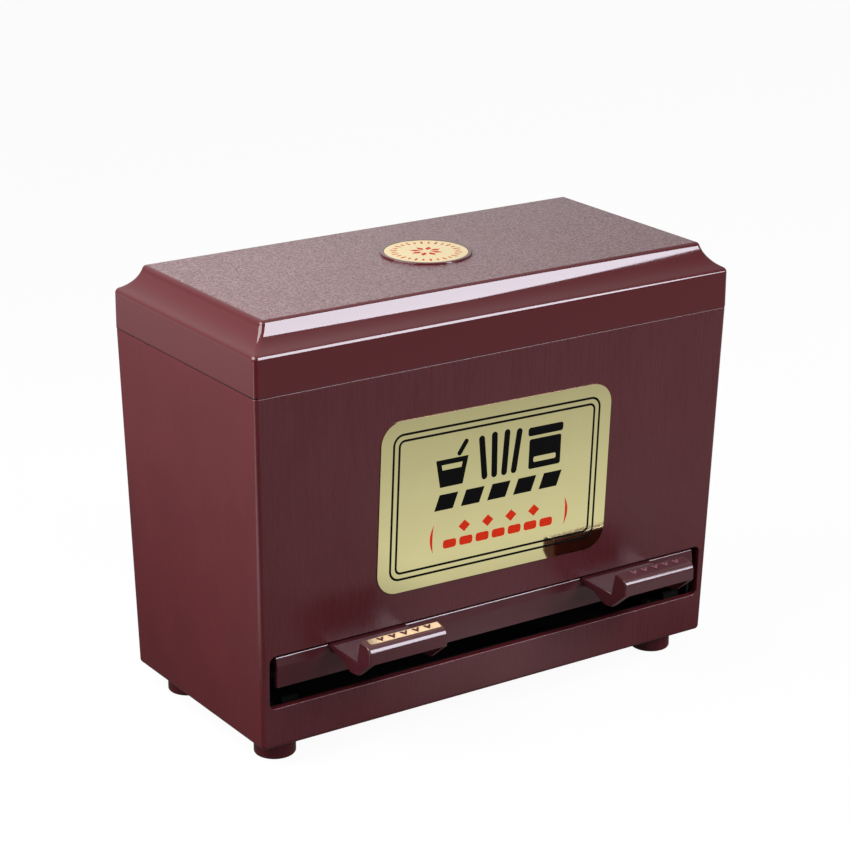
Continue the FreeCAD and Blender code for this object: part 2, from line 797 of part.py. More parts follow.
def make_bar():
    """The bar across the slot: its face, the straw pocket, the shield behind that, and the ribs."""
    body = make_body("press_bar")
    on_rod(body)
    inner = dim.shield_radius - dim.pocket_wall
    slope_drop = (dim.bar_wall - dim.facet_lean - dim.bar_rim) * dim.pocket_depth / dim.pocket_slope
    skin = [
        (face, bar_low), (face, facet_low), (facet_top, bar_top), (rim_back, bar_top),
        (pocket_flat, pocket_low), (pocket_end, pocket_low),
        on_circle(dim.shield_radius, pocket_end), Bend(dim.shield_radius, -1),
        at_angle(dim.shield_radius, dim.shield_tail_angle), at_angle(inner, dim.shield_tail_angle),
        Bend(inner, 1), on_circle(inner, pocket_end + dim.pocket_wall),
        (pocket_end + dim.pocket_wall, pocket_under), (pocket_flat, pocket_under),
        (face + dim.bar_wall, bar_top - dim.pocket_wall - slope_drop), (face + dim.bar_wall, bar_low),
    ]
    span(body, "bar_skin", skin, -bar_half, bar_half * 2)

    def on_top_edge(edge):
        return runs_along(edge, "x") and lies_at(edge, "y", facet_top) and lies_at(edge, "z", bar_top)

    fillet(body, "bar_top_edge", dim.bar_edge_rounding, on_top_edge)
    # Ribs reach halfway into the skin all round.
    middle = dim.shield_radius - dim.pocket_wall / 2
    rib_front = face + dim.bar_wall / 2
    rib_top = pocket_low - dim.pocket_wall / 2
    rib_back = pocket_end + dim.pocket_wall / 2
    rib = [(rib_front, bar_low), (rib_front, rib_top), (rib_back, rib_top), on_circle(middle, rib_back),
           Bend(middle, -1), at_angle(middle, dim.shield_tail_angle), (dim.hub_radius, 0),
           (0, -dim.hub_radius)]
    half_wall = dim.rib_wall / 2
    lows = {
        "left": -rib_far, "mid_left": -dim.mid_rib_offset - half_wall, "middle": -half_wall,
        "mid_right": dim.mid_rib_offset - half_wall, "right": rib_near,
    }
    for name, low in lows.items():
        span(body, "rib_" + name, rib, low, dim.rib_wall)
        hub = draw_circles(body, "hub_%s_outline" % name, "YZ_Plane", [(0, 0)], dim.hub_radius, low)
        pad(body, "hub_" + name, hub, dim.rib_wall)
    heel_top = dim.heel_height - dim.heel_drop
    heel = [(0, heel_top), (dim.heel_reach, heel_top), (dim.heel_reach, -dim.heel_drop),
            (dim.heel_reach - dim.heel_foot, -dim.heel_drop), (dim.heel_root_reach, -dim.heel_root_drop),
            (0, -dim.heel_root_drop)]
    seat_radius = dim.rod_radius + dim.rod_fit_gap + dim.bush_wall + dim.bush_fit_gap
    for name in ("left", "right"):
        low = lows[name]
        span(body, "heel_" + name, heel, low, dim.rib_wall)
        seat = draw_circles(body, "bush_seat_%s_outline" % name, "YZ_Plane", [(0, 0)], seat_radius, low)
        pocket(body, "bush_seat_" + name, seat, dim.rib_wall)
    passage = draw_circles(body, "rod_passage_outline", "YZ_Plane", [(0, 0)],
                           dim.rod_radius + dim.rib_clearance)
    pocket(body, "rod_passage", passage, rib_near * 2, both=True)
    holes = draw_circles(body, "peg_holes_outline", "XZ_Plane", peg_places, dim.peg_radius + dim.peg_gap,
                         dim.peg_tip - dim.peg_gap)
    pocket(body, "peg_holes", holes, dim.bar_face_before_rod)


# Side view of a tab, from the rod's axis.
arm_top = bar_top + dim.tab_above_bar
valley = (face - dim.valley_reach, arm_top - dim.tab_arm_drop)
ridge = (face - dim.ridge_reach, valley[1] + dim.ridge_rise)
nose = (face - dim.tab_reach, ridge[1] - dim.nose_drop)
plate_low = (nose[0], nose[1] - dim.plate_height)
toe = (face - dim.toe_reach, arm_top - dim.toe_drop)
belly = (face - dim.belly_reach, arm_top - dim.belly_drop)
calf = (face - dim.calf_reach, arm_top - dim.calf_drop)


def on_facet(height):
    """How far back the bar's leaning facet, or its plane further up, lies at a height."""
    return face + dim.facet_lean * (height - facet_low) / dim.facet_height


# How far the hollow stands back from and below the tab's bends, in wall thicknesses.
BEND_BACK = 0.9
BEND_DOWN = 1.2


def make_tab(label, side):
    """A finger tab: an arm from the bar to an upright plate, open below between two end webs."""
    body = make_body(label)
    on_rod(body)
    centre = side * tab_x
    web_root = arm_top - dim.web_root_height
    outline = [(on_facet(web_root), web_root), (on_facet(arm_top), arm_top), valley, ridge, nose,
               plate_low, toe, belly, calf]
    span(body, "tab_block", outline, centre - dim.tab_width / 2, dim.tab_width)

    def is_at(corner):
        def check(edge):
            return runs_along(edge, "x") and lies_at(edge, "y", corner[0]) and lies_at(edge, "z", corner[1])
        return check

    fillet(body, "nose_edge", dim.nose_rounding, is_at(nose))
    for name, corner in (("toe", toe), ("belly", belly), ("calf", calf)):
        fillet(body, name + "_edge", dim.toe_rounding, is_at(corner))
    fillet(body, "ridge_edge", dim.ridge_rounding, is_at(ridge))
    fillet(body, "plate_edge", dim.tab_edge_rounding, is_at(plate_low))

    def on_end(edge):
        front = edge.BoundBox.YMin < (face - dim.root_depth).value
        return front and any(lies_at(edge, "x", centre + end * dim.tab_width / 2) for end in (-1, 1))

    fillet(body, "tab_ends", dim.tab_edge_rounding, on_end)
    wall = dim.tab_wall
    inside = dim.tab_width - wall * 2
    hollow_low = belly[1] - CUT_BEYOND
    # Between the webs the upright plate ends level, so the hollow runs out under it.
    hollow = [
        (face - dim.root_depth, hollow_low), (face - dim.root_depth, arm_top - wall),
        (valley[0] - wall * BEND_BACK, valley[1] - wall),
        (ridge[0] - wall * BEND_BACK, ridge[1] - wall * BEND_DOWN),
        (nose[0] + wall, nose[1] - wall), (nose[0] + wall, plate_low[1]),
        (nose[0] - CUT_BEYOND, plate_low[1]), (nose[0] - CUT_BEYOND, hollow_low),
    ]
    hollow_sketch = draw(body, "tab_hollow_outline", "YZ_Plane", hollow, centre)
    pocket(body, "tab_hollow", hollow_sketch, inside, both=True)
    block = [(face, facet_low), (on_facet(arm_top), arm_top), (face - dim.root_depth, arm_top),
             (face - dim.root_depth, facet_low)]
    span(body, "tab_root", block, centre - inside / 2, inside)
    places = [item for item in peg_places if item[0].value * side > 0]
    pegs = draw_circles(body, "pegs_outline", "XZ_Plane", places, dim.peg_radius, dim.peg_tip)
    pad(body, "pegs", pegs, dim.bar_face_before_rod + dim.root_depth / 2 - dim.peg_tip)


def make_foil():
    """The foil strip on top of the left tab."""
    body = make_body("foil_strip")
    on_rod(body)
    run_y, run_z = nose[0] - ridge[0], nose[1] - ridge[1]
    length = root(run_y * run_y + run_z * run_z)
    step = (run_y / length, run_z / length)
    lift = (step[1] * dim.foil_thickness, -step[0] * dim.foil_thickness)
    near = (ridge[0] + step[0] * dim.foil_start, ridge[1] + step[1] * dim.foil_start)
    far = (near[0] + step[0] * dim.foil_width, near[1] + step[1] * dim.foil_width)
    outline = [near, far, (far[0] + lift[0], far[1] + lift[1]), (near[0] + lift[0], near[1] + lift[1])]
    low = dim.foil_left_gap - tab_x - dim.tab_width / 2
    span(body, "foil", outline, low, dim.tab_width - dim.foil_left_gap - dim.foil_right_gap)


# The ramp in the side view, from the case's middle and the table.
ramp_back = half_depth(shelf_top) - dim.case_wall - dim.ramp_back_gap
shelf_front = ramp_back - dim.ramp_shelf
nose_y = dim.throat_width + dim.case_wall - half_depth(slot_top)
nose_low = rod_z + dim.shield_radius + dim.ramp_nose_gap
ramp_slope = (shelf_low - nose_low) / (shelf_front - nose_y)
tray_half_depth = half_depth(floor_top) - dim.case_wall - dim.tray_gap
cheek_back = least(half_depth(floor_top), half_depth(shelf_low)) - dim.case_wall - dim.cheek_gap
lug_screw_x = cheek_near - dim.lug_screw_inset
bracket_y = cheek_back - dim.bracket_depth / 2
lug_screws = [(side * lug_screw_x, end * dim.lug_spread) for side in (-1, 1) for end in (-1, 1)]
ramp_screws = [(side * lug_screw_x, bracket_y) for side in (-1, 1)]
rest_shelf_top = rod_z - dim.heel_drop - dim.stop_gap - dim.rest_pad_height
spring_radius = pocket_under - dim.spring_wire_radius - dim.spring_seat_gap
# The peg stands behind the spring's tail, a little above its end.
spring_peg = (rod_y + pocket_under + dim.spring_peg_radius,
              rod_z - dim.spring_tail + dim.spring_peg_radius * 2)


def make_ramp():
    """The hopper's sloping floor, with a level shelf at the back and a nose over the bar's shield."""
    body = make_body("hopper_ramp")
    in_case(body)
    half = least(half_length(nose_low), half_length(shelf_top)) - dim.case_wall - dim.ramp_end_gap
    outline = [(nose_y, nose_low), (nose_y, nose_low + dim.ramp_wall), (shelf_front, shelf_top),
               (ramp_back, shelf_top), (ramp_back, shelf_low), (shelf_front, shelf_low)]
    span(body, "ramp_plate", outline, -half, half * 2)

    def on_nose(edge):
        level = lies_at(edge, "z", nose_low + dim.ramp_wall)
        return runs_along(edge, "x") and lies_at(edge, "y", nose_y) and level

    fillet(body, "ramp_nose", dim.ramp_wall / 2, on_nose)
    holes = draw_circles(body, "ramp_screw_places", "XY_Plane", ramp_screws,
                         dim.small_screw_radius + dim.screw_gap, shelf_top)
    pocket(body, "ramp_screw_holes", holes, dim.ramp_wall, along=False)


def make_tray():
    """The base insert: a plate with screw bosses and the wall behind the slot's lower lip."""
    body = make_body("mechanism_tray")
    in_case(body)
    plate = rounded_rectangle(tray_half_length, tray_half_depth, dim.tray_corner)
    pad(body, "tray_plate", draw(body, "tray_outline", "XY_Plane", plate, floor_top), dim.tray_base)
    bosses = draw_circles(body, "boss_places", "XY_Plane", foot_centres, dim.boss_radius, floor_top)
    pad(body, "bosses", bosses, dim.tray_base + dim.boss_height)
    wall_half = cheek_near - dim.tray_corner
    wall = rectangle(-wall_half, wall_half, -tray_half_depth, dim.trough_wall - tray_half_depth)
    pad(body, "trough_wall", draw(body, "trough_outline", "XY_Plane", wall, floor_top),
        trough_top - floor_top)
    pilots = draw_circles(body, "pilot_places", "XY_Plane", foot_centres,
                          dim.foot_screw_radius + dim.thread_gap, floor_top)
    pocket(body, "pilot_holes", pilots, dim.tray_base + dim.boss_height)
    threads = draw_circles(body, "cheek_screw_places", "XY_Plane", lug_screws,
                           dim.small_screw_radius + dim.thread_gap, floor_top)
    pocket(body, "cheek_screw_holes", threads, dim.tray_base)


def make_cheek(label, side):
    """A side plate: it carries the rod, the ramp's edge, the rest stop and the spring's peg."""
    body = make_body(label)
    in_case(body)
    nose_top = rod_z + dim.nose_height
    nose_back = rod_y + dim.nose_depth
    outline = [
        (-cheek_back, tray_top), (-cheek_back, nose_top), (nose_back, nose_top),
        (nose_back, nose_low + ramp_slope * (nose_back - nose_y)), (shelf_front, shelf_low),
        (cheek_back, shelf_low), (cheek_back, tray_top),
    ]
    plate_low_x = side_low(side, cheek_near, cheek_far)
    span(body, "cheek_plate", outline, plate_low_x, dim.cheek_wall)
    # Lugs, bracket and shelf stand in from the plate and reach into it.
    lug_x = side_low(side, cheek_near - dim.lug_length, cheek_far)
    lug_span = dim.lug_length + dim.cheek_wall
    lug_half = dim.lug_depth / 2
    blocks = [
        ("front_lug", -dim.lug_spread - lug_half, dim.lug_depth, tray_top, dim.lug_height),
        ("rear_lug", dim.lug_spread - lug_half, dim.lug_depth, tray_top, dim.lug_height),
        ("bracket", cheek_back - dim.bracket_depth, dim.bracket_depth, shelf_low - dim.bracket_height,
         dim.bracket_height),
    ]
    for name, y_low, depth, z_low, height in blocks:
        area = rectangle(lug_x, lug_x + lug_span, y_low, y_low + depth)
        pad(body, name, draw(body, name + "_outline", "XY_Plane", area, z_low), height)
    shelf_x = side_low(side, rib_near, cheek_far)
    shelf = rectangle(shelf_x, shelf_x + cheek_far - rib_near, rod_y + dim.heel_reach - dim.shelf_depth,
                      rod_y + dim.heel_reach)
    shelf_sketch = draw(body, "rest_shelf_outline", "XY_Plane", shelf, rest_shelf_top - dim.shelf_height)
    pad(body, "rest_shelf", shelf_sketch, dim.shelf_height)
    peg = draw_circles(body, "spring_peg_outline", "YZ_Plane", [spring_peg],
                       dim.spring_peg_radius, side_low(side, cheek_near - dim.spring_peg_length, cheek_far))
    pad(body, "spring_peg", peg, dim.spring_peg_length + dim.cheek_wall)
    bore = draw_circles(body, "rod_bore_outline", "YZ_Plane", [(rod_y, rod_z)],
                        dim.rod_radius + dim.rod_fit_gap, plate_low_x)
    pocket(body, "rod_bore", bore, dim.cheek_wall)
    places = [item for item in lug_screws if item[0].value * side > 0]
    lug_holes = draw_circles(body, "lug_screw_places", "XY_Plane", places,
                             dim.small_screw_radius + dim.screw_gap, tray_top)
    pocket(body, "lug_holes", lug_holes, dim.lug_height)
    places = [item for item in ramp_screws if item[0].value * side > 0]
    thread = draw_circles(body, "bracket_screw_place", "XY_Plane", places,
                          dim.small_screw_radius + dim.thread_gap, shelf_low)
    pocket(body, "bracket_hole", thread, dim.bracket_height, along=False)


def make_rod():
    """The steel rod from cheek to cheek, along X."""
    half = cheek_far - dim.rod_fit_gap
    node(make_cylinder("pivot_rod", dim.rod_radius, half * 2, (-half, rod_y, rod_z), ALONG_X), "pivot_rod")


def make_bush(label, side):
    """A flanged bush in one end rib of the bar, its flange outside."""
    body = make_body(label)
    bore = dim.rod_radius + dim.rod_fit_gap
    outer = bore + dim.bush_wall
    flange = outer + dim.bush_flange_rim
    length = dim.bush_flange + dim.rib_wall
    profile = [(bore, 0), (flange, 0), (flange, dim.bush_flange), (outer, dim.bush_flange),
               (outer, length), (bore, length)]
    revolve(body, "bush_turned", draw(body, "bush_profile", "XZ_Plane", profile))
    inwards = FreeCAD.Rotation(FreeCAD.Vector(0, 1, 0), -90 * side)
    place(body, side * (rib_far + dim.bush_flange), case_y + rod_y, rod_z, inwards)


def make_clips():
    """Two open ring clips on the rod, each just inside a cheek."""
    clips = []
    for name, side in (("left", -1), ("right", 1)):
        low = side_low(side, cheek_near - dim.clip_gap - dim.clip_wall, cheek_near - dim.clip_gap)
        centre = (low, rod_y, rod_z)
        disc = make_cylinder("clip_disc_" + name, dim.clip_radius, dim.clip_wall, centre, ALONG_X)
        hole = make_cylinder("clip_hole_" + name, dim.rod_radius + dim.rod_fit_gap, dim.clip_wall,
                             centre, ALONG_X)
        mouth = make_box("clip_mouth_" + name, (dim.clip_wall, dim.clip_radius + CUT_BEYOND, dim.clip_mouth),
                         (low, rod_y, rod_z - dim.clip_mouth / 2))
        opening = doc.addObject("Part::MultiFuse", "clip_opening_" + name)
        opening.Shapes = [hole, mouth]
        clip = doc.addObject("Part::Cut", "clip_" + name)
        clip.Base = disc
        clip.Tool = opening
        clips.append(clip)
    make_group("rod_clips", clips)


def make_spring(label, side):
    """A torsion spring about the rod: a coil, a tail on the cheek's peg and an arm under the pocket."""
    wire = dim.spring_wire_radius.value
    inner = (rib_far + dim.bush_flange + dim.spring_end_gap).value + wire
    outer = (cheek_near - dim.clip_gap - dim.clip_wall - dim.spring_end_gap).value - wire
    turns = dim.spring_turns.value
    coil = Part.makeHelix((outer - inner) / turns, outer - inner, spring_radius.value)
    # The coil starts behind the rod and ends above it, so that its arm points to the front.
    coil.Placement = FreeCAD.Placement(
        FreeCAD.Vector(-outer, 0, 0),
        FreeCAD.Rotation(FreeCAD.Vector(0, 1, 0), FreeCAD.Vector(0, 0, 1), FreeCAD.Vector(1, 0, 0), "ZXY"))
    edges = coil.Edges
    start = edges[0].valueAt(edges[0].FirstParameter)
    start_way = edges[0].tangentAt(edges[0].FirstParameter)
    end = edges[-1].valueAt(edges[-1].LastParameter)
    end_way = edges[-1].tangentAt(edges[-1].LastParameter)
    tail_end = start - start_way * dim.spring_tail.value
    arm_end = end + end_way * dim.spring_arm.value
    path = Part.Wire([Part.makeLine(tail_end, start)] + edges + [Part.makeLine(end, arm_end)])
    section = Part.Wire([Part.makeCircle(wire, tail_end, start_way)])
    shape = path.makePipeShell([section], True, False)
    if side > 0:
        shape = shape.mirror(FreeCAD.Vector(0, 0, 0), FreeCAD.Vector(1, 0, 0))
    spring = node(doc.addObject("Part::Feature", label), label)
    spring.Shape = shape
    place(spring, 0, case_y + rod_y, rod_z)


def make_stop_pads():
    """Rubber pads: two under the bar's heels at rest, two under its front edge when pressed."""
    rest_low = (rod_y + dim.heel_reach - dim.shelf_depth, rest_shelf_top)
    press_top = rod_z + face * sine(dim.press_angle) + bar_low * cosine(dim.press_angle) - dim.stop_gap
    pads = []
    for name, side in (("left", -1), ("right", 1)):
        low = side_low(side, rib_near, rib_far)
        pads.append(make_box("rest_pad_" + name, (dim.rib_wall, dim.shelf_depth, dim.rest_pad_height),
                             (low, rest_low[0], rest_low[1])))
        middle = side * (rib_near + rib_far) / 2
        pads.append(make_box("press_pad_" + name,
                             (dim.press_pad_length, dim.trough_wall, press_top - trough_top),
                             (middle - dim.press_pad_length / 2, -tray_half_depth, trough_top)))
    make_group("stop_pads", pads)


def make_screws():
    """The feet's screws from below, and those of the cheeks and the ramp from above."""
    foot_size = (dim.foot_screw_radius, dim.foot_screw_length, dim.foot_head_radius, dim.foot_head_height)
    small_size = (dim.small_screw_radius, dim.small_screw_length, dim.small_head_radius,
                  dim.small_head_height)
    sets = (
        ("foot_screws", foot_centres, dim.foot_sink, foot_size, 1),
        ("cheek_screws", lug_screws, tray_top + dim.lug_height, small_size, -1),
        ("ramp_screws", ramp_screws, shelf_top, small_size, -1),
    )
    for label, places, seat, size, up in sets:
        make_group(label, [make_screw("%s_%d" % (label, index), spot, seat, size, up)
                           for index, spot in enumerate(places, start=1)])


make_case()
make_lid()
make_badge()
make_label()
make_feet()
make_tray()
make_cheek("side_cheek_left", -1)
make_cheek("side_cheek_right", 1)
make_ramp()
make_bar()
make_tab("press_tab_left", -1)
make_tab("press_tab_right", 1)
make_foil()
make_rod()
make_bush("bar_bush_left", -1)
make_bush("bar_bush_right", 1)
make_clips()
make_spring("return_spring_left", -1)
make_spring("return_spring_right", 1)
make_stop_pads()
make_screws()
doc.recompute()

for item in doc.Objects:
    if "Invalid" in item.State or "Error" in item.State:
        raise RuntimeError("%s failed" % item.Label)
for item in nodes:
    if item.Shape.isNull() or not item.Shape.isValid():
        raise RuntimeError("%s has no valid shape" % item.Label)

os.makedirs("parts", exist_ok=True)
for item in nodes:
    item.Shape.exportStep("parts/%s.step" % item.Label)
    box = item.Shape.BoundBox
    print("%-20s %2d solid(s) %9.1f mm3  x %.1f..%.1f  y %.1f..%.1f  z %.1f..%.1f" % (
        item.Label, len(item.Shape.Solids), item.Shape.Volume,
        box.XMin, box.XMax, box.YMin, box.YMax, box.ZMin, box.ZMax))
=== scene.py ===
"""Looks of the straw dispenser: materials, printed and raised details, light, floor and camera."""
import math

import bpy
from mathutils import Matrix, Vector


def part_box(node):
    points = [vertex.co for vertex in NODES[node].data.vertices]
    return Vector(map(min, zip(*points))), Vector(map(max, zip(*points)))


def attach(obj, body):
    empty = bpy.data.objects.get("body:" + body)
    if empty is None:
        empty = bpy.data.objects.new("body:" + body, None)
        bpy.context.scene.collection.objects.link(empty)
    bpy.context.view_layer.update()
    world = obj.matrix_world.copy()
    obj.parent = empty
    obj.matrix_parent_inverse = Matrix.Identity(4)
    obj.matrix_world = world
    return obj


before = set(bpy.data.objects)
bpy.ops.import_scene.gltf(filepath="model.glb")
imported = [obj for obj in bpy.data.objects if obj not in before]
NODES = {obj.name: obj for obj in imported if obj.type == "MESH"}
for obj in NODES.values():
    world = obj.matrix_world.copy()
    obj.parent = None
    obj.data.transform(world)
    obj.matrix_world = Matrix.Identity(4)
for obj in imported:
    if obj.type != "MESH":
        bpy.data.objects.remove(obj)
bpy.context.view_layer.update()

MM = 0.001
RING_HEIGHT = 0.9 * MM
RING_OUTER = 19.5 * MM
LID_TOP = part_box("lid")[1][2] - RING_HEIGHT   # the lid's flat top, under the badge's raised ring
LID_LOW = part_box("case_shell")[1][2]          # where the lid sits on the case
CASE_MIDDLE = sum(corner[1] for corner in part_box("case_shell")) / 2


# --- shader helpers ---------------------------------------------------------------------------------

RANGE_SOCKETS = ("From Min", "From Max", "To Min", "To Max")
COLOR_MIX_SOCKETS = (0, 6, 7)    # a mix node's factor and its two colours
COLOR_MIX_RESULT = 2
NOISE_SPREAD = (0.3, 0.7)        # most of a noise's values lie between these


def linear(red, green, blue):
    """An 8-bit screen colour as the renderer's linear one."""
    channels = []
    for value in (red, green, blue):
        value /= 255.0
        channels.append(value / 12.92 if value <= 0.04045 else ((value + 0.055) / 1.055) ** 2.4)
    return (*channels, 1.0)


def scaled(color, factor):
    return (color[0] * factor, color[1] * factor, color[2] * factor, 1.0)


class Graph:
    """A node tree, and short calls that add nodes to it."""

    def __init__(self, tree):
        self.nodes, self.links = tree.nodes, tree.links

    def add(self, kind, **values):
        node = self.nodes.new(kind)
        for name, value in values.items():
            setattr(node, name, value)
        return node

    def feed(self, socket, value):
        """Links another node's output to a socket, or sets the socket to a plain value."""
        if isinstance(value, bpy.types.NodeSocket):
            self.links.new(value, socket)
        else:
            socket.default_value = value

    def math(self, operation, *terms):
        node = self.add("ShaderNodeMath", operation=operation)
        for socket, term in zip(node.inputs, terms):
            self.feed(socket, term)
        return node.outputs[0]

    def product(self, first, *others):
        for other in others:
            first = self.math("MULTIPLY", first, other)
        return first

    def range(self, value, low, high, to_low=0.0, to_high=1.0):
        """Maps low to high onto to_low to to_high, and holds the ends beyond them."""
        node = self.add("ShaderNodeMapRange")
        self.feed(node.inputs["Value"], value)
        for socket, number in zip(RANGE_SOCKETS, (low, high, to_low, to_high)):
            self.feed(node.inputs[socket], number)
        return node.outputs[0]

    def axis(self, output, name):
        node = self.add("ShaderNodeSeparateXYZ")
        self.feed(node.inputs[0], output)
        return node.outputs[name]


class Finish(Graph):
    """A material with a Principled shader."""

    def __init__(self, name, color, roughness, **sockets):
        self.material = bpy.data.materials.new(name)
        self.material.use_nodes = True
        self.material.diffuse_color = color
        super().__init__(self.material.node_tree)
        self.shader = self.nodes["Principled BSDF"]
        self.set("Base Color", color)
        self.set("Roughness", roughness)
        for socket, value in sockets.items():
            self.set(socket.replace("_", " "), value)
        self.coords = self.add("ShaderNodeTexCoord")

    def set(self, socket, value):
        self.feed(self.shader.inputs[socket], value)

    def where(self, name):
        """A point's place along one axis."""
        return self.axis(self.coords.outputs["Object"], name)

    def facing(self, name):
        """How far the surface faces along one axis, -1 to 1."""
        return self.axis(self.coords.outputs["Normal"], name)

    def noise(self, scale, detail=2.0, rough=0.5):
        """Noise whose cells are 1/scale metres along each axis."""
        mapping = self.add("ShaderNodeMapping")
        self.feed(mapping.inputs["Scale"], scale)
        self.feed(mapping.inputs["Vector"], self.coords.outputs["Object"])
        node = self.add("ShaderNodeTexNoise")
        settings = {"Scale": 1.0, "Detail": detail, "Roughness": rough, "Vector": mapping.outputs[0]}
        for socket, value in settings.items():
            self.feed(node.inputs[socket], value)
        return node.outputs["Fac"]

    def vary(self, noise, low, high):
        """Values between low and high that follow a noise."""
        return self.range(noise, *NOISE_SPREAD, low, high)

    def blend_colors(self, factor, first, second):
        node = self.add("ShaderNodeMix", data_type="RGBA")
        for socket, value in zip(COLOR_MIX_SOCKETS, (factor, first, second)):
            self.feed(node.inputs[socket], value)
        return node.outputs[COLOR_MIX_RESULT]

    def paint(self, output):
        self.set("Base Color", output)

    def roughen(self, output):
        self.set("Roughness", output)

    def bump(self, height, distance, strength=1.0):
        node = self.add("ShaderNodeBump")
        for socket, value in (("Distance", distance), ("Strength", strength), ("Height", height)):
            self.feed(node.inputs[socket], value)
        self.set("Normal", node.outputs[0])

    def put_on(self, *names):
        for name in names:
            data = NODES[name].data
            data.materials.clear()
            data.materials.append(self.material)


# --- materials --------------------------------------------------------------------------------------

BURGUNDY = (0.080, 0.0098, 0.0130, 1.0)
BAR_BURGUNDY = (0.062, 0.013, 0.017, 1.0)
STREAK_COLOR = linear(74, 43, 47)
# pale flecks on the lid's grained top: partly the grain, partly a painted sheen
SHEEN_SPECK_COLOR = linear(128, 98, 102)
# painted shade along the lid's lower edge on the sides
SEAM_SHADE_COLOR = (0.006, 0.001, 0.001, 1.0)
LABEL_GOLD = (0.97, 0.89, 0.45, 1.0)
BADGE_GOLD = (0.86, 0.70, 0.38, 1.0)
STRIP_GOLD = (0.60, 0.43, 0.28, 1.0)
STRIP_BROWN = (0.03, 0.012, 0.008, 1.0)

FACES_FRONT = -0.9               # a wall whose normal's Y lies below this is the front
CORNER_FACING = (0.12, 0.98)     # the upright corners' normals have an X of this size
SEAM_SHADE_RISE = 0.3 * MM             # the painted shade's middle over the case's rim
SEAM_SHADE_REACH = 0.35 * MM
TAB_TOP_HEIGHT = 59.0 * MM       # the tabs' tops lie above this
LEFT_TAB_END = -40.0 * MM        # the left tab lies to the left of this


def make_case_finish():
    """Burgundy plastic: a fine upright brushed texture on the front, satin elsewhere."""
    finish = Finish("case_plastic", BURGUNDY, 0.4, Specular_IOR_Level=0.35)
    front = finish.math("LESS_THAN", finish.facing("Y"), FACES_FRONT)
    streaks = finish.noise((900, 900, 35), detail=4, rough=0.7)
    fine = finish.noise((3200, 3200, 3200), detail=1)
    cloudy = finish.noise((45, 45, 30), detail=3)
    finish.bump(finish.math("MULTIPLY_ADD", front, finish.math("SUBTRACT", streaks, fine), fine), 0.04 * MM)

    plain = finish.blend_colors(finish.vary(cloudy, 0.0, 1.0), scaled(BURGUNDY, 0.92), scaled(BURGUNDY, 1.06))
    mixed = finish.math("MULTIPLY_ADD", streaks, 0.5, finish.product(cloudy, 0.5))
    streaky = finish.product(front, finish.range(mixed, 0.38, 0.62, 0.16, 0.40))
    finish.paint(finish.blend_colors(streaky, plain, STREAK_COLOR))

    # The front is smoother than the other walls, and the upright corners are smoother still.
    sideways = finish.math("ABSOLUTE", finish.facing("X"))
    corner = finish.product(finish.math("GREATER_THAN", sideways, CORNER_FACING[0]),
                            finish.math("LESS_THAN", sideways, CORNER_FACING[1]))
    satin = finish.math("SUBTRACT", finish.vary(streaks, 0.36, 0.46), finish.product(front, 0.12))
    finish.roughen(finish.product(satin, finish.range(corner, 0.0, 1.0, 1.0, 0.42)))
    finish.put_on("case_shell")


def make_lid_finish():
    """Burgundy plastic: glossy, with a fine grain on the flat top inside the coves, pale flecks there that
    are partly a painted sheen, and a painted shade along the lower edge of the sides.
    """
    finish = Finish("lid_plastic", BURGUNDY, 0.1, Specular_IOR_Level=0.5)
    height = finish.where("Z")
    across = finish.where("X")
    along = finish.math("SUBTRACT", finish.where("Y"), CASE_MIDDLE)
    from_badge = finish.math("SQRT", finish.math("ADD", finish.product(across, across),
                                                 finish.product(along, along)))
    top = finish.product(finish.math("GREATER_THAN", height, LID_TOP - 0.04 * MM),
                         finish.math("GREATER_THAN", from_badge, RING_OUTER))
    grain = finish.noise((1150, 800, 1150), detail=2, rough=0.7)
    smooth = finish.noise((24, 24, 24), detail=1)
    finish.bump(finish.product(grain, top), 0.14 * MM)
    finish.roughen(finish.math("ADD", finish.product(top, 0.25), finish.vary(smooth, 0.045, 0.07)))

    # The top's grain shows as pale flecks: partly the texture's own grain, partly a painted sheen of the
    # grazing light.
    sheen_specks = finish.product(top, finish.range(grain, 0.36, 0.64))
    plain = finish.blend_colors(top, BURGUNDY, scaled(BURGUNDY, 0.8))
    sheen_speckled = finish.blend_colors(sheen_specks, plain, SHEEN_SPECK_COLOR)
    # Painted shade: the edge that sits on the case lies in shade along the sides, so it is painted near black
    # there.
    side = finish.math("GREATER_THAN", finish.math("ABSOLUTE", finish.facing("X")), 0.3)
    seam_shade = finish.product(side, finish.math("COMPARE", height, LID_LOW + SEAM_SHADE_RISE, SEAM_SHADE_REACH))
    finish.paint(finish.blend_colors(seam_shade, sheen_speckled, SEAM_SHADE_COLOR))
    finish.put_on("lid")


def make_bar_finish():
    """Glossier plastic of the bar and tabs, a little greyer than the case."""
    finish = Finish("bar_plastic", BAR_BURGUNDY, 0.22, Specular_IOR_Level=0.5)
    ripple = finish.noise((90, 300, 300), detail=2)
    finish.bump(finish.noise((1800, 1800, 1800), detail=2), 0.01 * MM)
    # The left tab's top is duller round its foil.
    dull_top = finish.product(finish.math("GREATER_THAN", finish.where("Z"), TAB_TOP_HEIGHT),
                              finish.math("LESS_THAN", finish.where("X"), LEFT_TAB_END))
    finish.roughen(finish.math("MULTIPLY_ADD", dull_top, 0.5, finish.vary(ripple, 0.12, 0.19)))
    finish.paint(finish.blend_colors(ripple, scaled(BAR_BURGUNDY, 0.92), scaled(BAR_BURGUNDY, 1.08)))
    finish.put_on("press_bar", "press_tab_left", "press_tab_right")


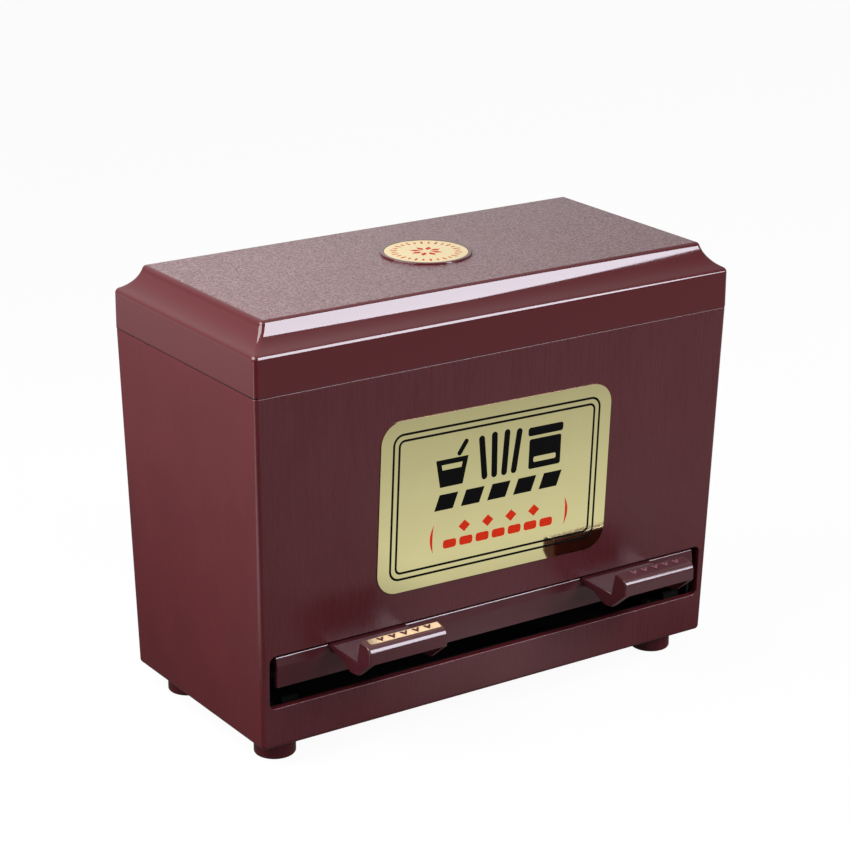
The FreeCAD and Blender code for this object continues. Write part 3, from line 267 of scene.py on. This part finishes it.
def make_foil_finish(name, color, roughness, metallic, node):
    """Metallised film: a mirror with a faint waviness."""
    finish = Finish(name, color, roughness, Metallic=metallic)
    waves = finish.noise((70, 70, 70), detail=2)
    finish.bump(waves, 0.1 * MM, strength=0.35)
    finish.paint(finish.blend_colors(waves, scaled(color, 0.97), scaled(color, 1.03)))
    finish.roughen(finish.vary(finish.noise((900, 900, 900)), roughness * 0.8, roughness * 1.2))
    finish.put_on(node)
    return finish


def make_strip_finish():
    """The left tab's foil, which darkens to brown at its left end."""
    finish = make_foil_finish("strip_foil", STRIP_GOLD, 0.45, 0.05, "foil_strip")
    left_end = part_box("foil_strip")[0][0]
    gold = finish.range(finish.where("X"), left_end - 1.0 * MM, left_end + 5.0 * MM)
    finish.paint(finish.blend_colors(gold, STRIP_BROWN, STRIP_GOLD))


def make_grained_finish(name, color, roughness, cells, relief, tones=(), dullness=(), detail=2, **sockets):
    """A material with one fine grain, which shows in its relief and in its colour or its roughness."""
    finish = Finish(name, color, roughness, **sockets)
    grain = finish.noise(cells, detail=detail)
    finish.bump(grain, relief)
    if tones:
        finish.paint(finish.blend_colors(grain, *tones))
    if dullness:
        finish.roughen(finish.vary(grain, *dullness))
    return finish


def make_foot_finish():
    """Burgundy plastic, smooth and darker than the case."""
    finish = make_grained_finish("foot_plastic", BURGUNDY, 0.17, (500, 500, 1600), 0.02 * MM,
                                 tones=(scaled(BURGUNDY, 0.8), BURGUNDY))
    finish.put_on("foot_front_left", "foot_front_right", "foot_rear_left", "foot_rear_right")


def make_inner_finishes():
    """The hidden mechanism: matt black plastic whose near-black tone is painted shade, steel, rubber and
    white acetal.
    """
    # Painted shade: the tray, cheeks and ramp are near black, so what shows of them through the slot reads as
    # the shade in the trough.
    black = make_grained_finish("inner_plastic", (0.004, 0.0038, 0.004, 1.0), 0.6, (1400, 1400, 1400),
                                0.04 * MM, tones=((0.003, 0.003, 0.003, 1.0), (0.006, 0.0055, 0.006, 1.0)),
                                Specular_IOR_Level=0.2)
    black.put_on("mechanism_tray", "side_cheek_left", "side_cheek_right", "hopper_ramp")
    steel = make_grained_finish("steel", (0.56, 0.56, 0.57, 1.0), 0.25, (4000, 900, 900), 0.01 * MM,
                                dullness=(0.2, 0.32), Metallic=1.0)
    steel.put_on("pivot_rod", "rod_clips", "foot_screws", "cheek_screws", "ramp_screws")
    blackened = make_grained_finish("blackened_steel", (0.05, 0.05, 0.052, 1.0), 0.45, (3000, 3000, 3000),
                                    0.01 * MM, dullness=(0.38, 0.52), Metallic=0.9)
    blackened.put_on("return_spring_left", "return_spring_right")
    rubber = make_grained_finish("rubber", (0.003, 0.003, 0.003, 1.0), 0.85, (2600, 2600, 2600), 0.03 * MM,
                                 tones=((0.002, 0.002, 0.002, 1.0), (0.004, 0.004, 0.004, 1.0)),
                                 Specular_IOR_Level=0.06)
    rubber.put_on("stop_pads")
    acetal = make_grained_finish("bush_plastic", (0.7, 0.68, 0.62, 1.0), 0.35, (800, 800, 800), 0.02 * MM,
                                 tones=((0.66, 0.64, 0.58, 1.0), (0.74, 0.72, 0.66, 1.0)), detail=1)
    acetal.put_on("bar_bush_left", "bar_bush_right")


def make_ink(name, color):
    """Printed ink, slightly uneven."""
    finish = make_grained_finish(name, color, 0.5, (600, 600, 600), 0.005 * MM,
                                 tones=(color, scaled(color, 1.25)), Specular_IOR_Level=0.03)
    return finish.material


make_case_finish()
make_lid_finish()
make_bar_finish()
make_foot_finish()
make_foil_finish("label_foil", LABEL_GOLD, 0.06, 1.0, "label_plate")
make_foil_finish("badge_foil", BADGE_GOLD, 0.3, 0.8, "badge_disc")
make_strip_finish()
make_inner_finishes()
black_ink = make_ink("black_ink", (0.003, 0.0028, 0.003, 1.0))
red_ink = make_ink("red_ink", linear(196, 44, 20))
maroon_ink = make_ink("maroon_ink", linear(170, 60, 40))
maroon_dark_ink = make_ink("maroon_dark_ink", linear(72, 34, 34))
rose_ink = make_ink("rose_ink", linear(120, 78, 86))


# --- flat shapes, in millimetres --------------------------------------------------------------------

PRINT_THICKNESS = 0.02
HALF_TURN_STEPS = 8


def on_circle(centre, radius, angle):
    return (centre[0] + radius * math.cos(angle), centre[1] + radius * math.sin(angle))


def rounded(left, low, right, high, radius, steps=8):
    """The outline of a rectangle with round corners."""
    points = []
    corners = ((right - radius, low + radius, -90), (right - radius, high - radius, 0),
               (left + radius, high - radius, 90), (left + radius, low + radius, 180))
    for across, up, start in corners:
        for step in range(steps + 1):
            points.append(on_circle((across, up), radius, math.radians(start + 90 * step / steps)))
    return points


def bar(start, end, width):
    """The outline of a straight bar with round ends."""
    heading = math.atan2(end[1] - start[1], end[0] - start[0])
    points = []
    for centre, first in ((end, -90), (start, 90)):
        for step in range(HALF_TURN_STEPS + 1):
            angle = heading + math.radians(first + 180 * step / HALF_TURN_STEPS)
            points.append(on_circle(centre, width / 2, angle))
    return points


def bow(centre, radius, width, middle, spread, steps=16):
    """The outline of an arc that thins out to its two ends."""
    least_share = 0.12
    outer, inner = [], []
    for step in range(steps + 1):
        share = step / steps
        angle = math.radians(middle - spread + 2 * spread * share)
        half = width / 2 * max(math.sin(math.pi * share), least_share)
        outer.append(on_circle(centre, radius + half, angle))
        inner.append(on_circle(centre, radius - half, angle))
    return outer + inner[::-1]


def diamond(centre, half_across, half_up):
    across, up = centre
    return [(across - half_across, up), (across, up - half_up),
            (across + half_across, up), (across, up + half_up)]


def flat_piece(name, outlines, plane, material, body, thickness=PRINT_THICKNESS, bevel=0.0):
    """A thin plate that stands on a plane. An outline inside another is a hole."""
    curve = bpy.data.curves.new(name, "CURVE")
    curve.dimensions = "2D"
    curve.fill_mode = "BOTH"
    curve.extrude = thickness / 2 * MM
    curve.bevel_depth = bevel * MM
    curve.bevel_resolution = 1
    for outline in outlines:
        spline = curve.splines.new("POLY")
        spline.points.add(len(outline) - 1)
        for point, (across, up) in zip(spline.points, outline):
            point.co = (across * MM, up * MM, 0.0, 1.0)
        spline.use_cyclic_u = True
    curve.materials.append(material)
    piece = bpy.data.objects.new(name, curve)
    bpy.context.collection.objects.link(piece)
    piece.matrix_world = plane @ Matrix.Translation((0, 0, thickness / 2 * MM))
    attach(piece, body)


def plane_frame(origin, right, up):
    """The matrix of a flat piece's own plane: its X to the right, Y up and Z out of the surface."""
    right, up = Vector(right).normalized(), Vector(up).normalized()
    out = right.cross(up)
    matrix = Matrix((right, up, out)).transposed().to_4x4()
    matrix.translation = Vector(origin)
    return matrix


# --- the label's print ------------------------------------------------------------------------------

LABEL_TURN = 1.0                 # degrees, clockwise from the front
BORDER_WIDTH = 1.0
BORDERS = (("outer", 52.2, 32.0, 5.0), ("inner", 49.5, 29.3, 3.0))    # half length, half height, radius
STRAW_WIDTH = 2.9
LOZENGES, LOZENGE_PITCH = 5, 13.2
DIAMONDS, DIAMOND_PITCH = 4, 11.8
DASHES, DASH_PITCH = 7, 8.2


def label_frame():
    """The front face of the label plate: its middle, and its own right and up."""
    mesh = NODES["label_plate"].data
    front_faces = (face for face in mesh.polygons if face.normal.y < FACES_FRONT)
    out = max(front_faces, key=lambda face: face.area).normal.copy()
    spots = [vertex.co for vertex in mesh.vertices]
    front = max(spot.dot(out) for spot in spots)
    face_spots = [spot for spot in spots if front - spot.dot(out) < 0.01 * MM]
    up = Vector((0, 0, 1)) - out * out.z
    right = up.cross(out)
    turn = Matrix.Rotation(math.radians(LABEL_TURN), 3, -out)
    right, up = turn @ right.normalized(), turn @ up.normalized()
    middle = out * front
    for way in (right, up):
        ends = [spot.dot(way) for spot in face_spots]
        middle += way * (min(ends) + max(ends)) / 2
    return plane_frame(middle, right, up)


def make_label_print():
    """A double border, three pictograms, a row of lozenges and a red ornament between two bows."""
    plane = label_frame()

    def print_piece(name, outlines, ink=black_ink):
        flat_piece("label_" + name, outlines, plane, ink, "case")

    for name, half_across, half_up, radius in BORDERS:
        inside_across, inside_up = half_across - BORDER_WIDTH, half_up - BORDER_WIDTH
        outside = rounded(-half_across, -half_up, half_across, half_up, radius)
        inside = rounded(-inside_across, -inside_up, inside_across, inside_up, radius - BORDER_WIDTH)
        print_piece("border_" + name, [outside, inside])

    cup = [(-31, 17.2), (-15, 17.2), (-17.4, 5.2), (-28.6, 5.2)]
    window = [(-28.2, 14.9), (-17.8, 14.9), (-18.3, 12.6), (-27.7, 12.6)]
    print_piece("tumbler", [cup, window, bar((-19.5, 18.8), (-16.4, 23.4), 2.2)])

    straw_ends = (((-6.5, 6.4), (-8.6, 23.0)), ((-1.6, 6.4), (-2.2, 23.6)),
                  ((3.4, 6.4), (4.2, 23.6)), ((8.3, 6.4), (10.4, 23.0)))
    print_piece("straws", [bar(foot, tip, STRAW_WIDTH) for foot, tip in straw_ends])

    cover, box = rounded(15, 19.8, 33, 23.6, 1.2), rounded(15.8, 5.2, 32.2, 18.4, 1.0)
    print_piece("box", [cover, box, rounded(18.2, 8.0, 29.8, 10.4, 0.8)])

    lozenges = []
    for index in range(LOZENGES):
        left = -31 + index * LOZENGE_PITCH
        lozenges.append([(left + 2.4, 2.0), (left + 11.6, 2.0), (left + 9.2, -4.8), (left, -4.8)])
    print_piece("lozenges", lozenges)

    red = [bow((-15.0, -17.0), 17.0, 1.3, 180, 21), bow((20.0, -17.0), 17.0, 1.3, 0, 21)]
    for index in range(DIAMONDS):
        red.append(diamond((-15.6 + index * DIAMOND_PITCH, -13.7), 2.9, 2.6))
    for index in range(DASHES):
        left = -26.0 + index * DASH_PITCH
        red.append(rounded(left, -22.2, left + 6.6, -18.4, 1.2, 4))
    print_piece("ornament", red, red_ink)


# --- badge, chevrons --------------------------------------------------------------------------------

BADGE_STROKES = 28
LONG_STROKE, SHORT_STROKE = (12.6, 14.9), (12.9, 14.3)    # the radii of a stroke's two ends
STROKE_WIDTH = 0.9
PETALS = 8
PETAL_RADII = (2.0, 4.6, 7.2)    # a petal's foot, its widest place and its tip
PETAL_HALF_WIDTH = 1.3

RIDGE_BACK = 7.5                 # from the tab's nose back to its ridge
RIDGE_HEIGHT, NOSE_HEIGHT = 60.4, 58.7
CHEVRON_DROP = 2.9               # the chevrons' middle line, down the slope from the ridge
CHEVRONS, CHEVRON_PITCH, CHEVRON_SHIFT = 5, 5.65, 1.0
CHEVRON_THICKNESS, CHEVRON_BEVEL = 0.2, 0.05
FOIL_LIFT = 0.15                 # the foil's top over the plastic, where it lies under the chevrons
TABS = (("press_tab_left", "left", maroon_dark_ink, FOIL_LIFT), ("press_tab_right", "right", rose_ink, 0.0))


def make_badge_print():
    """A ring of short strokes and an eight-petal rosette."""
    low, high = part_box("badge_disc")
    origin = ((low[0] + high[0]) / 2, (low[1] + high[1]) / 2, high[2])
    plane = plane_frame(origin, (1, 0, 0), (0, 1, 0))
    strokes = []
    for index in range(BADGE_STROKES):
        angle = 2 * math.pi * index / BADGE_STROKES
        near, far = LONG_STROKE if index % 2 else SHORT_STROKE
        strokes.append(bar(on_circle((0, 0), near, angle), on_circle((0, 0), far, angle), STROKE_WIDTH))
    petals = []
    foot, wide, tip = PETAL_RADII
    for index in range(PETALS):
        angle = 2 * math.pi * index / PETALS
        across, up = math.cos(angle), math.sin(angle)
        aside, above = -up * PETAL_HALF_WIDTH, across * PETAL_HALF_WIDTH
        petals.append([(foot * across, foot * up), (wide * across + aside, wide * up + above),
                       (tip * across, tip * up), (wide * across - aside, wide * up - above)])
    flat_piece("badge_strokes", strokes, plane, maroon_ink, "lid")
    flat_piece("badge_rosette", petals, plane, maroon_ink, "lid")


def make_chevrons():
    """Five raised chevrons on each tab's sloping top, which point to the nose."""
    chevrons = []
    for index in range(CHEVRONS):
        middle = (index - (CHEVRONS - 1) / 2) * CHEVRON_PITCH + CHEVRON_SHIFT
        chevrons.append([(middle - 1.7, 1.2), (middle - 0.75, 1.2), (middle, 0.1), (middle + 0.75, 1.2),
                         (middle + 1.7, 1.2), (middle, -1.2)])
    for node, side, ink, lift in TABS:
        low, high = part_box(node)
        ridge = Vector(((low[0] + high[0]) / 2, low[1] + RIDGE_BACK * MM, RIDGE_HEIGHT * MM))
        nose = Vector((ridge.x, low[1], NOSE_HEIGHT * MM))
        up = (ridge - nose).normalized()
        on_slope = plane_frame(ridge - up * CHEVRON_DROP * MM, (1, 0, 0), up)
        flat_piece("tab_chevrons_" + side, chevrons, on_slope @ Matrix.Translation((0, 0, lift * MM)), ink,
                   "press_rocker", thickness=CHEVRON_THICKNESS, bevel=CHEVRON_BEVEL)


make_label_print()
make_badge_print()
make_chevrons()


# --- floor, light and camera ------------------------------------------------------------------------

FLOOR_REACH = 6.0
FLOOR_DROP = 0.05 * MM           # keeps the floor clear of the feet's undersides
SHADOW_SHARE = 0.05              # how much of the floor's real shade the camera sees
WORLD_LIGHT = 0.25
CAMERA_PLACE = (-0.584979, CASE_MIDDLE - 0.866096, 0.472954)
CAMERA_YAW, CAMERA_PITCH, CAMERA_ROLL = 0.59403, -0.33175, 0.00581    # radians
CAMERA_LENS = 108.996
WHITE = (1.0, 1.0, 1.0)


class Shades(Graph):
    """A node tree whose surface differs by the kind of ray that sees it."""

    def __init__(self, tree, kind):
        super().__init__(tree)
        self.kind = kind
        self.rays = self.add("ShaderNodeLightPath")

    def glow(self, strength):
        node = self.add(self.kind)
        self.feed(node.inputs["Color"], (*WHITE, 1.0))
        self.feed(node.inputs["Strength"], strength)
        return node.outputs[0]

    def over(self, base, top, ray, share=1.0):
        """Shows `top` instead of `base` to one kind of ray, as far as `share` says."""
        mix = self.add("ShaderNodeMixShader")
        for socket, value in zip(mix.inputs, (self.product(self.rays.outputs[ray], share), base, top)):
            self.feed(socket, value)
        return mix.outputs[0]


def floor_in_reflections(finish):
    """A painted glow that reflections see on the floor: painted shade under the object, dim beside it,
    brighter further off.
    """
    across, depth = finish.where("X"), finish.where("Y")
    aside = finish.math("ABSOLUTE", across)
    beside = finish.math("ADD", finish.range(aside, 0.18, 0.42, 0.11, 0.6),
                         finish.range(aside, 0.42, 0.9, 0.0, 0.2))
    # In front it is brightest some 0.2 m out and dimmer to the left, with a painted light spot close to the
    # middle.
    further = finish.product(finish.range(depth, -0.37, -0.15, 0.34, 0.68),
                             finish.range(depth, -0.18, -0.06, 1.0, 0.15),
                             finish.range(depth, -0.9, -0.5, 0.15, 1.0))
    close = finish.product(finish.range(depth, -0.13, -0.09), finish.range(across, 0.02, 0.1, 0.9, 0.0))
    before = finish.product(finish.math("ADD", further, close), finish.range(across, -0.06, 0.05, 0.2, 1.0))
    in_front = finish.range(depth, -0.06, -0.04, 1.0, 0.0)
    either = finish.math("ADD", finish.product(in_front, finish.math("SUBTRACT", before, beside)), beside)
    # A painted brighter area to the left shows as a painted highlight line on the front left corner.
    patch = finish.product(finish.range(depth, -0.2, -0.12), finish.range(depth, 0.03, 0.10, 1.0, 0.0),
                           finish.range(across, -0.28, -0.18, 2.0, 0.0))
    return finish.math("ADD", either, patch)


def make_floor():
    """A wide pale floor. The camera sees it white, with a faint shadow of the object; reflections see a
    painted glow.
    """
    mesh = bpy.data.meshes.new("floor")
    corners = [(across * FLOOR_REACH, depth * FLOOR_REACH, 0)
               for across, depth in ((-1, -1), (1, -1), (1, 1), (-1, 1))]
    mesh.from_pydata(corners, [], [(0, 1, 2, 3)])
    floor = bpy.data.objects.new("floor", mesh)
    floor.location.z = -FLOOR_DROP
    bpy.context.collection.objects.link(floor)
    finish = Finish("floor_paper", (0.8, 0.8, 0.8, 1.0), 0.9, Specular_IOR_Level=0.0)
    shades = Shades(finish.material.node_tree, "ShaderNodeEmission")
    fibre = finish.noise((40, 40, 40))
    seen = finish.blend_colors(fibre, (0.88, 0.88, 0.88, 1.0), (0.9, 0.9, 0.9, 1.0))
    finish.paint(finish.blend_colors(shades.rays.outputs["Is Camera Ray"], (0.33, 0.33, 0.33, 1.0), seen))
    # Painted glow: glossy rays see the floor as this emission, with its painted shade and light.
    painted_floor_glow = shades.glow(floor_in_reflections(finish))
    surface = shades.over(finish.shader.outputs[0], painted_floor_glow, "Is Glossy Ray")
    surface = shades.over(surface, shades.glow(1.0), "Is Camera Ray", 1.0 - SHADOW_SHARE)
    finish.feed(finish.nodes["Material Output"].inputs["Surface"], surface)
    mesh.materials.append(finish.material)


def make_world():
    """Even light from all round. In reflections the room is dimmer left, right, in front and low down."""
    world = bpy.data.worlds.new("studio")
    bpy.context.scene.world = world
    world.use_nodes = True
    world.node_tree.nodes.clear()
    shades = Shades(world.node_tree, "ShaderNodeBackground")
    way = shades.add("ShaderNodeTexCoord").outputs["Generated"]
    across, depth, up = (shades.axis(way, name) for name in "XYZ")
    room = shades.product(shades.range(across, -0.5, 0.25, 0.57, 1.1),
                          shades.range(across, 0.5, 0.66, 1.0, 0.4),
                          shades.range(depth, -0.7, 0.0, 0.4, 1.0),
                          shades.range(up, 0.0, 0.12, 0.3, 1.0))
    surface = shades.over(shades.glow(WORLD_LIGHT), shades.glow(room), "Is Glossy Ray")
    surface = shades.over(surface, shades.glow(1.0), "Is Camera Ray")
    shades.feed(shades.add("ShaderNodeOutputWorld").inputs["Surface"], surface)


def make_panel(name, place, facing, size, radiance, turn=0.0, tint=WHITE, glossy=True, diffuse=True):
    """A rectangular soft light whose face shines with a given radiance."""
    light = bpy.data.lights.new(name, "AREA")
    light.shape = "RECTANGLE"
    light.size, light.size_y = size
    light.energy = radiance * math.pi * size[0] * size[1]
    light.color = tint
    lamp = bpy.data.objects.new(name, light)
    back = -Vector(facing).normalized()
    right = Vector((0, 0, 1)).cross(back).normalized()
    upright = plane_frame(place, right, back.cross(right))
    lamp.matrix_world = upright @ Matrix.Rotation(math.radians(turn), 4, "Z")
    lamp.visible_glossy = glossy
    lamp.visible_diffuse = diffuse
    bpy.context.collection.objects.link(lamp)


def make_lights():
    """A tall key light on the right, split by kind of ray, and a smaller soft light on the left."""
    make_panel("key_light", place=(0.80, CASE_MIDDLE - 1.061, 0.84), facing=(0.0, 0.839, -0.545),
               size=(0.46, 1.02), radiance=16.0, turn=18, tint=(0.97, 0.97, 1.0), glossy=False)
    # What reflections show of it, as a band in the front cove and along the edges.
    make_panel("key_front", place=(0.69, CASE_MIDDLE - 1.088, 0.69), facing=(0.0, 0.906, -0.423),
               size=(0.62, 1.0), radiance=17.0, turn=17, tint=(0.90, 0.90, 1.0), diffuse=False)
    make_panel("left_light", place=(-0.40, CASE_MIDDLE + 0.02, 0.40), facing=(0.74, 0.0, -0.67),
               size=(0.5, 0.3), radiance=8.2)


def make_camera():
    """A long lens from the front left, a little above."""
    level = math.cos(CAMERA_PITCH)
    ahead = Vector((math.sin(CAMERA_YAW) * level, math.cos(CAMERA_YAW) * level, math.sin(CAMERA_PITCH)))
    right = Vector((math.cos(CAMERA_YAW), -math.sin(CAMERA_YAW), 0))
    up = right.cross(ahead)
    turned = right * math.cos(CAMERA_ROLL) + up * math.sin(CAMERA_ROLL)
    data = bpy.data.cameras.new("camera")
    data.sensor_width = 36.0
    data.lens = CAMERA_LENS
    data.clip_start, data.clip_end = 0.05, 50.0
    camera = bpy.data.objects.new("camera", data)
    camera.matrix_world = plane_frame(CAMERA_PLACE, turned, turned.cross(ahead))
    bpy.context.collection.objects.link(camera)
    bpy.context.scene.camera = camera


make_floor()
make_world()
make_lights()
make_camera()
bpy.context.scene.view_settings.view_transform = "Standard"
